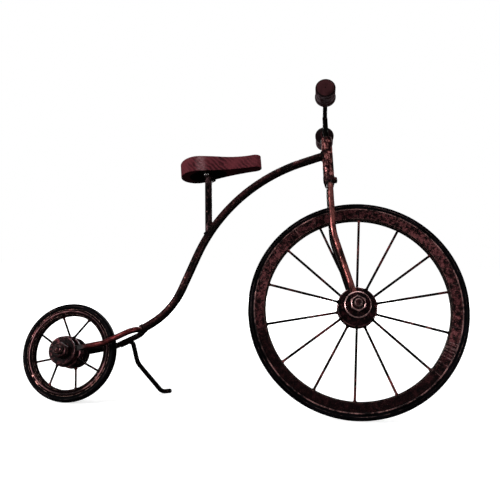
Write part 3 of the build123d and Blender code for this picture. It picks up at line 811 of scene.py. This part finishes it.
def hexRows(low, high):
    # Rows of a turned hexagon between two faces: (greatest radius, place along the axle, hexagonal)
    flat = boltShape["acrossFlats"] / 2
    corner = flat / math.cos(fullTurn / 12)
    cut = boltShape["cornerCut"]
    steps = boltShape["cutSteps"]
    away = math.copysign(1, high - low)
    rows = [(flat * boltShape["seatFlare"], low), (corner, low + away * boltShape["seatStep"]),
            (corner, high - away * cut)]
    for step in range(1, steps + 1):
        share = step / steps
        radius = corner + (flat * boltShape["faceShare"] - corner) * share
        rows.append((radius, high - away * cut * (1 - share)))
    return [(radius, along, True) for radius, along in rows]


def rowsShape(rows, place, thread=None):
    # Rows run from pole to pole or close on themselves; a thread is cut between two places
    segments = boltShape["segments"]
    points = []
    for radius, along, hexed in rows:
        for segment in range(segments):
            angle = fullTurn * segment / segments
            reach = min(radius, hexRadius(angle)) if hexed else radius
            if thread and thread[0] <= along <= thread[1]:
                phase = (along / boltShape["pitch"] - angle / fullTurn) % 1.0
                reach -= boltShape["threadDepth"] * abs(2 * phase - 1)
            points.append(place @ (Vector((reach * math.cos(angle), along, reach * math.sin(angle))) * mm))
    return points, bandFaces(len(rows), segments)


def brightRows(rows):
    return [row * boltShape["segments"] + segment for row in rows for segment in range(boltShape["segments"])]


def boltPiece(look):
    # From the head's pole on the left to the threaded point on the right, with the rows that are bright
    seat = look["washerSeat"] + boltShape["washerThick"]
    top = seat + boltShape["headHeight"]
    face = -seat - boltShape["nutHeight"]
    tip = face - boltShape["freeEnd"]
    steps = boltShape["threadSteps"]
    rows = [(0, top, False)] + hexRows(seat, top)[::-1]
    rows += [(boltShape["shank"], seat, False), (boltShape["shank"], face, False)]
    for step in range(steps + 1):
        along = face + (tip - face) * step / steps
        cut = max(0.0, boltShape["tipCut"] - (along - tip))
        rows.append((boltShape["threadTop"] - cut, along, False))
    bright = list(range(1, boltShape["cutSteps"] + 1))
    point = tip + boltShape["tipBright"] * boltShape["tipCut"]
    bright += [i for i, row in enumerate(rows[:-1]) if row[1] < point]
    rows.append((0, tip, False))
    thread = (tip + boltShape["tipCut"], face - boltShape["threadGap"])
    return rowsShape(rows, look["place"], thread), brightRows(bright)


def nutPiece(look):
    seat = -look["washerSeat"] - boltShape["washerThick"]
    face = seat - boltShape["nutHeight"]
    bore = boltShape["shank"] + boltShape["boreGap"]
    cut = boltShape["boreCut"]
    outside = hexRows(seat, face)
    rows = [(bore, seat, False)] + outside
    rows += [(bore + cut, face, False), (bore, face + cut, False), (bore, seat, False)]
    first = len(outside) - boltShape["cutSteps"]
    return rowsShape(rows, look["place"]), brightRows(range(first, len(outside)))


for wheel, look in axleLooks.items():
    body = look["body"]
    edge = metals[look["edge"]]
    iron = metals["nutIron"]
    outline = hubOutline(look)
    bevels = [step for corner in hubShape["bevelCorners"] for step in cornerSteps(corner, corners=2)]
    addPiece(wheel + "HubTurned", turnedRing(outline, look["place"], hubShape["segments"]), metals["hubIron"],
             wheel + "_wheel", [wheel + "_hub"], metals["flangeEdge"],
             bandsOf(bevels, len(outline), hubShape["segments"]))
    for side, sideName in ((1, "left"), (-1, "right")):
        outline = washerOutline(look, side)
        bevels = cornerSteps(boltShape["bevelCorner"], corners=2)
        ring = turnedRing(outline, look["place"], boltShape["segments"])
        addPiece(wheel + "Washer" + sideName.capitalize(), ring, metals["hubIron"], body,
                 [wheel + "_washer_" + sideName], edge, bandsOf(bevels, len(outline), boltShape["segments"]))
    shape, bright = boltPiece(look)
    addPiece(wheel + "AxleBolt", shape, iron, body, [wheel + "_axle"], edge, bright)
    shape, bright = nutPiece(look)
    addPiece(wheel + "AxleNut", shape, iron, body, [wheel + "_axle_nut"], edge, bright)
print("wheels dressed")

# Small welds where each spoke meets its flange and the rim. Rows are shares of the weld's radius and length.
spokeWeld = dict(radius=1.75, length=1.9, flats=12, lump=0.16, lumpSteps=(3.1, 0.7, 2.2), endBand=0.6,
                 rows=((0.55, -0.5), (1.0, 0.0), (0.92, 0.25), (0.72, 0.55), (0.6, 1.0)))


def mergedShape(node):
    shaped = bmesh.new()
    shaped.from_mesh(nodes[node].data)
    bmesh.ops.remove_doubles(shaped, verts=shaped.verts, dist=nodeMerge)
    return shaped


def looseParts(node):
    # Groups of corner points, one for each separate solid of a node
    shaped = mergedShape(node)
    waiting = dict.fromkeys(shaped.verts)  # in the mesh's own order, so that each run gives the same welds
    parts = []
    while waiting:
        stack = [next(iter(waiting))]
        del waiting[stack[0]]
        part = []
        while stack:
            vertex = stack.pop()
            part.append(vertex.co.copy())
            for edge in vertex.link_edges:
                other = edge.other_vert(vertex)
                if other in waiting:
                    del waiting[other]
                    stack.append(other)
        parts.append(part)
    shaped.free()
    return parts


def spokeEnds(node, place):
    # The middle of each spoke's two ends, hub end first
    back = place.inverted()
    ends = []
    for part in looseParts(node):
        spread = [(Vector(((back @ p).x, (back @ p).z)).length, p) for p in part]
        reaches = [reach for reach, p in spread]
        pair = []
        for edge in (min(reaches), max(reaches)):
            pair.append(middleOf([p for reach, p in spread if abs(reach - edge) < spokeWeld["endBand"] * mm]))
        ends.append(pair)
    return ends


def weldCone(foot, away, look, seed):
    # A low lump round a wire: wide at the foot, running out along the wire
    flats = look["flats"]
    seedStep, rowStep, roundStep = look["lumpSteps"]
    points = []
    for row, (wide, along) in enumerate(look["rows"]):
        for flat, out in enumerate(waysRound(away, flats)):
            turn = roundStep * math.cos(fullTurn * flat / flats)
            lump = 1 + look["lump"] * noise.noise(Vector((seed * seedStep, row * rowStep, turn)))
            points.append(foot + (out * look["radius"] * wide * lump + away * along * look["length"]) * mm)
    count = len(look["rows"])
    return points, bandFaces(count, flats) + [capFace(0, flats), capFace(count - 1, flats)]


for wheel, look in wheelLooks.items():
    cones = []
    for index, (near, far) in enumerate(spokeEnds(wheel + "_spokes", look["place"])):
        away = (far - near).normalized()
        for foot, way in ((near, away), (far, -away)):
            cones.append(weldCone(foot, way, spokeWeld, index + len(cones)))
    addPiece(wheel + "SpokeWelds", joinShapes(cones), metals["spokeWire"], wheel + "_wheel")
print("spokes welded")

# Grips: turned wood, a groove behind the wide inner lip, an eased end
gripShape = dict(inner=37.5, length=22.5, radius=9.2, lip=9.7, lipLength=6.0, nose=4.0, groove=0.75,
                 grooveWide=1.1, grooveFall=0.25, grooveRise=0.3, bore=2.25, boreDepth=16.5, edge=0.9,
                 endRun=1.0, endCut=1.2, endFall=0.2, barHeight=63.2, segments=96)


def gripOutline(look):
    lip = look["lipLength"]
    wide = look["radius"]
    floor = wide - look["groove"]
    behind = lip + look["grooveWide"]
    end = look["length"]
    corners = [(pole, look["boreDepth"]), (look["bore"], look["boreDepth"]), (look["bore"], 0),
               (look["nose"], 0), (look["lip"], lip / 2), (look["lip"], lip),
               (floor, lip + look["grooveFall"]), (floor, behind),
               (wide, behind + look["grooveRise"]), (wide, end - look["endRun"]),
               (wide - look["endCut"], end - look["endFall"]), (wide / 2, end), (pole, end)]
    return roundedCorners(corners, look["edge"])


for side, sideName in ((1, "left"), (-1, "right")):
    middle = forkPlace @ Matrix.Translation((0, side * gripShape["inner"] * mm, gripShape["barHeight"] * mm))
    outline = [(r, side * y) for r, y in gripOutline(gripShape)]
    addPiece(sideName + "GripTurned", turnedRing(outline, middle, gripShape["segments"]), gripWood, "fork",
             ["grip_" + sideName])

# Head tube with eased lips
headShape = dict(radius=5.3, bore=2.55, length=41.0, edge=0.8, segments=96)
headCorners = [(headShape["bore"], 0), (headShape["radius"], 0), (headShape["radius"], headShape["length"]),
               (headShape["bore"], headShape["length"])]
uprightHead = headPlace @ Matrix.Rotation(math.pi / 2, 4, "X")  # turns the lathe's axis onto the head
headRing = turnedRing(roundedCorners(headCorners, headShape["edge"]), uprightHead, headShape["segments"])
addPiece("headTubeEased", headRing, metals["headCopper"], "frame", ["head_tube"])
print("grips and head turned")

# Saddle: the plank's edges are worn round
saddleShape = dict(voxel=0.3, rounds=11, ease=0.5)


def softenedCopy(node, look):
    # A remeshed copy of a solid with its sharp edges smoothed
    shaped = mergedShape(node)
    mesh = bpy.data.meshes.new(node + "Copy")
    shaped.to_mesh(mesh)
    shaped.free()
    holder = bpy.data.objects.new(node + "Copy", mesh)
    bpy.context.scene.collection.objects.link(holder)
    remesh = holder.modifiers.new("remesh", "REMESH")
    remesh.mode = "VOXEL"
    remesh.voxel_size = look["voxel"] * mm
    smooth = holder.modifiers.new("smooth", "SMOOTH")
    smooth.factor = look["ease"]
    smooth.iterations = look["rounds"]
    view = bpy.context.evaluated_depsgraph_get()
    done = bpy.data.meshes.new_from_object(holder.evaluated_get(view))
    points = [vertex.co.copy() for vertex in done.vertices]
    faces = [tuple(polygon.vertices) for polygon in done.polygons]
    bpy.data.objects.remove(holder)
    return points, faces


softSaddle = softenedCopy("saddle", saddleShape)
addPiece("saddleWorn", softSaddle, saddleWood, "frame", ["saddle"])
print("saddle eased:", len(softSaddle[1]), "faces")

# Screw heads with a slot across a low dome
plateHalf = 1.0  # from the saddle plate's middle to its underside
screwAside = 9.5  # from the saddle plate's middle to each of its screws
screwLooks = {
    "right": dict(foot=plateMiddle - seatUp * plateHalf * mm - rearLeft * screwAside * mm, way=-seatUp,
                  across=rearLeft, radius=2.5, height=1.7),
    "left": dict(foot=plateMiddle - seatUp * plateHalf * mm + rearLeft * screwAside * mm, way=-seatUp,
                 across=bikeForward, radius=2.5, height=1.7),
    "collar": dict(foot=headFoot + (forkForward * 4.6 - headAxis * 3.7) * mm, way=forkForward,
                   across=headAxis, radius=3.1, height=3.4),
}
screwShape = dict(segments=72, rings=14, dome=0.32, slotWide=0.21, slotEase=0.07, slotDeep=0.3, sunk=0.3)


def screwHead(look):
    way = look["way"].normalized()
    across = (look["across"] - way * look["across"].dot(way)).normalized()
    other = way.cross(across)
    wall = look["height"] * (1 - screwShape["dome"])
    rows = [(pole, -screwShape["sunk"]), (1.0, -screwShape["sunk"]), (1.0, wall)]
    plainRows = len(rows)  # the slot is cut in the dome only
    for ring in range(1, screwShape["rings"] + 1):
        turn = math.pi / 2 * ring / screwShape["rings"]
        rows.append((max(math.cos(turn), pole), wall + look["height"] * screwShape["dome"] * math.sin(turn)))
    points = []
    segments = screwShape["segments"]
    for index, (share, height) in enumerate(rows):
        for segment in range(segments):
            angle = fullTurn * segment / segments
            x = share * math.cos(angle)
            cut = 0.0
            if index >= plainRows:
                cut = min(1.0, max(0.0, (screwShape["slotWide"] - abs(x)) / screwShape["slotEase"]))
            rise = height - screwShape["slotDeep"] * look["height"] * cut
            flat = (other * x + across * share * math.sin(angle)) * look["radius"]
            points.append(look["foot"] + (flat + way * rise) * mm)
    return points, bandFaces(len(rows), segments)


saddleScrews = joinShapes([screwHead(screwLooks["right"]), screwHead(screwLooks["left"])])
addPiece("saddleScrewHeads", saddleScrews, screwSteel, "frame", ["saddle_screws"])
addPiece("collarScrewHead", screwHead(screwLooks["collar"]), metals["blackIron"], "fork",
         ["collar_screw"])

# The stand's toe ends in a rounded point. Lengths after the first are shares of the rod's radius.
toeShape = dict(radius=2.25, turn=40.0, rounding=0.75, overlap=0.4, inside=0.995, tipBand=0.05, rings=8,
                flats=32)


def toeEnd(look):
    way = turnedWay(xWay, yWay, look["turn"])
    rod = nodePoints("side_stand")
    tip = max(p.dot(way) for p in rod)
    middle = middleOf([p for p in rod if p.dot(way) > tip - look["tipBand"] * mm])
    middle.z = look["radius"] * mm
    side = Vector((-way.y, way.x, 0))
    rows = [(1.0, -look["overlap"])]
    for ring in range(look["rings"] + 1):
        turn = math.pi / 2 * ring / look["rings"]
        rows.append((max(math.cos(turn), pole), look["rounding"] * math.sin(turn)))
    points = []
    flats = look["flats"]
    for share, along in rows:
        for flat in range(flats):
            angle = fullTurn * flat / flats
            ring = (side * math.cos(angle) + zWay * math.sin(angle)) * share * look["inside"]
            points.append(middle + (ring + way * along) * look["radius"] * mm)
    return points, bandFaces(len(rows), flats) + [capFace(0, flats)]


addPiece("standToe", toeEnd(toeShape), metals["plainBlack"], "frame")
print("screws and toe set")

# Weld beads: rippled tubes along the lines where two rods meet
weldShape = dict(ripple=0.1, ripplesEach=1.1, lump=0.15, lumpSteps=(5.7, 0.6, 0.3), endShare=0.35, sides=10,
                 ringSteps=64, landSteps=72)


def weldBead(path, thick, closed, seed):
    # A tube along a line of points, its thickness rippling as a hand-laid weld does
    points = []
    count = len(path)
    sides = weldShape["sides"]
    seedStep, alongStep, lumpAt = weldShape["lumpSteps"]
    travelled = 0.0
    side = (path[1] - path[0]).orthogonal()
    for index, here in enumerate(path):
        before = path[index - 1] if closed or index > 0 else here
        after = path[(index + 1) % count] if closed or index < count - 1 else here
        along = (after - before).normalized()
        travelled += (here - before).length / mm
        side = (side - along * side.dot(along)).normalized()
        cross = along.cross(side)
        wave = math.sin(travelled * fullTurn / weldShape["ripplesEach"])
        lump = noise.noise(Vector((seed * seedStep, travelled * alongStep, lumpAt)))
        reach = thick * (1 + weldShape["ripple"] * wave + weldShape["lump"] * lump)
        if not closed and index in (0, count - 1):
            reach *= weldShape["endShare"]
        for turn in range(sides):
            angle = fullTurn * turn / sides
            points.append(here + (side * math.cos(angle) + cross * math.sin(angle)) * reach * mm)
    faces = bandFaces(count, sides, closed)
    if not closed:
        faces += [capFace(0, sides), capFace(count - 1, sides)]
    return points, faces


def landingRing(node, start, way, radius):
    # Where a round rod of this radius, going from start along way, lands on a node
    polygons = [tuple(polygon.vertices) for polygon in nodes[node].data.polygons]
    tree = BVHTree.FromPolygons(nodePoints(node), polygons)
    starts = [start + out * radius * mm for out in waysRound(way, weldShape["landSteps"])]
    hits = [tree.ray_cast(here, way)[0] for here in starts]
    return [hit for hit in hits if hit]


def plainRing(middle, way, radius):
    return [middle + out * radius * mm for out in waysRound(way, weldShape["ringSteps"])]


# Slopes of the backbone's ends in degrees, and the joint's height on the head
backboneEnds = dict(frontSlope=18.65, rearSlope=33.8, headAt=23.3, endBand=8.0)
intoHead = turnedWay(bikeForward, bikeUp, backboneEnds["frontSlope"])
fromCrown = turnedWay(bikeForward, bikeUp, backboneEnds["rearSlope"])
headJoint = headFoot + headAxis * backboneEnds["headAt"] * mm
rodPoints = nodePoints("backbone")
rodEnd = min(p.dot(fromCrown) for p in rodPoints)
crownMiddle = middleOf([p for p in rodPoints if p.dot(fromCrown) < rodEnd + backboneEnds["endBand"] * mm])
crownMiddle += fromCrown * (rodEnd - crownMiddle.dot(fromCrown))
barMiddle = headFoot + headAxis * gripShape["barHeight"] * mm

# name: path of the weld, its thickness, its body
welds = {
    "postFootWeld": (landingRing("backbone", plateMiddle - postUp * 30 * mm, -postUp, 3.7), 1.1, "frame"),
    "postTopWeld": (landingRing("saddle_plate", plateMiddle - postUp * 12 * mm, postUp, 3.6), 0.6, "frame"),
    "headWeld": (landingRing("head_tube", headJoint - intoHead * 20 * mm, intoHead, 4.15), 1.05, "frame"),
    "crownWeldLow": (plainRing(crownMiddle + fromCrown * 1.6 * mm, fromCrown, 3.5), 1.35, "frame"),
    "crownWeldHigh": (plainRing(crownMiddle + fromCrown * 3.6 * mm, fromCrown, 3.75), 0.95, "frame"),
    "collarWeld": (plainRing(headFoot - headAxis * 9.7 * mm, headAxis, 3.4), 0.8, "fork"),
    "barWeld": (plainRing(barMiddle - headAxis * 2.0 * mm, headAxis, 2.2), 0.4, "fork"),
}
for seed, (weldName, (path, thick, body)) in enumerate(welds.items()):
    addPiece(weldName, weldBead(path, thick, True, seed), metals["blackIron"], body)

# The stand's two welds run along the stay, above and below the line where the rods touch
standWeld = dict(knee=(39.97, 14.0, 9.0), slope=27.0, first=5.0, last=16.5, out=2.5, away=1.35, thick=0.75,
                 steps=26, seed=11)
stayRun = turnedWay(xWay, zWay, standWeld["slope"])
stayDown = Vector((stayRun.z, 0, -stayRun.x))
for side, weldName in ((1, "standWeldLow"), (-1, "standWeldHigh")):
    path = []
    for step in range(standWeld["steps"] + 1):
        reach = standWeld["first"] + (standWeld["last"] - standWeld["first"]) * step / standWeld["steps"]
        local = Vector(standWeld["knee"]) + stayRun * reach + stayDown * side * standWeld["away"]
        path.append(rearWheelPlace @ ((local + yWay * standWeld["out"]) * mm))
    bead = weldBead(path, standWeld["thick"], False, standWeld["seed"] + side)
    addPiece(weldName, bead, metals["plainBlack"], "frame")
print("welds laid:", len(welds))

# Camera at the photograph's angle. From here on places and sizes are in metres, the lens in millimetres.
cameraLook = dict(fromFrontHub=(0.015124, -0.601539, 0.050925), forward=(-0.188323, 0.982066, 0.001001),
                  down=(0.015525, 0.003954, -0.999838), lens=46.8, sensor=36.0, nearest=0.01)


def addCamera(look):
    camera = bpy.data.objects.new("camera", bpy.data.cameras.new("camera"))
    camera.data.lens = look["lens"]
    camera.data.sensor_width = look["sensor"]
    camera.data.clip_start = look["nearest"]
    back = -Vector(look["forward"]).normalized()
    up = -Vector(look["down"])
    side = up.cross(back).normalized()
    position = hingePoint("front_wheel_spin") + Vector(look["fromFrontHub"])
    camera.matrix_world = axesMatrix(position, side, back.cross(side), back)
    bpy.context.scene.collection.objects.link(camera)
    bpy.context.scene.camera = camera


addCamera(cameraLook)

# Pale floor and soft studio light. The floor glows more with distance, so that its edge is lost in white.
floorLook = dict(radius=6.0, segments=96, color=(0.9, 0.9, 0.9), shade=0.97, speckle=40.0, detail=3.0,
                 roughness=0.8, specular=0.1, glow=(0.35, 1.3, 0.45, 1.0))
lightLooks = {
    "keyLight": dict(position=(-1.02, -0.9, 0.5), size=0.45, power=18.5),
    "fillLight": dict(position=(0.95, -0.75, 0.3), size=0.3, power=7.5),
    "topLight": dict(position=(-0.1, 0.15, 1.3), size=1.2, power=9.5),
    "backLight": dict(position=(-0.1, 1.4, 0.5), size=0.7, power=16.0, shadow=False),
}
lightAim = Vector((0, 0, 0.14))
worldLook = dict(seen=1.0, lighting=0.03)
white = (1, 1, 1)


def addFloor(look):
    shaped = bmesh.new()
    bmesh.ops.create_circle(shaped, cap_ends=True, segments=look["segments"], radius=look["radius"])
    mesh = bpy.data.meshes.new("studioFloor")
    shaped.to_mesh(mesh)
    shaped.free()
    floor = bpy.data.objects.new("studioFloor", mesh)
    bpy.context.scene.collection.objects.link(floor)
    material, shader = startMaterial("paleFloor")
    place = surface("Object")
    speckle = noiseNode(place, look["speckle"], look["detail"])
    darker = [look["shade"] * part for part in look["color"]]
    glow = mapRange(vectorNode("LENGTH", place), *look["glow"])
    feed(shader, {"Base Color": mixColor(speckle, look["color"], darker), "Roughness": look["roughness"],
                  "Specular IOR Level": look["specular"], "Emission Color": white, "Emission Strength": glow})
    setMaterial(floor, material)
    floor.visible_glossy = False
    floor.visible_diffuse = False


def addLight(name, look):
    lamp = bpy.data.lights.new(name, "AREA")
    lamp.energy = look["power"]
    lamp.size = look["size"]
    lamp.use_shadow = look.get("shadow", True)
    light = bpy.data.objects.new(name, lamp)
    light.location = look["position"]
    light.rotation_euler = (lightAim - light.location).to_track_quat("-Z", "Y").to_euler()
    bpy.context.scene.collection.objects.link(light)


def addWorld(look):
    world = bpy.data.worlds.new("studioWorld")
    world.use_nodes = True
    bench["tree"] = world.node_tree
    world.node_tree.nodes.clear()
    seen = putNode("Background", {"Color": white, "Strength": look["seen"]}).outputs[0]
    lighting = putNode("Background", {"Color": white, "Strength": look["lighting"]}).outputs[0]
    path = putNode("LightPath").outputs["Is Camera Ray"]
    putNode("OutputWorld", {0: putNode("MixShader", {0: path, 1: lighting, 2: seen}).outputs[0]})
    bpy.context.scene.world = world


addFloor(floorLook)
for lightName, look in lightLooks.items():
    addLight(lightName, look)
addWorld(worldLook)
bpy.context.scene.view_settings.view_transform = "Standard"
print("studio set")
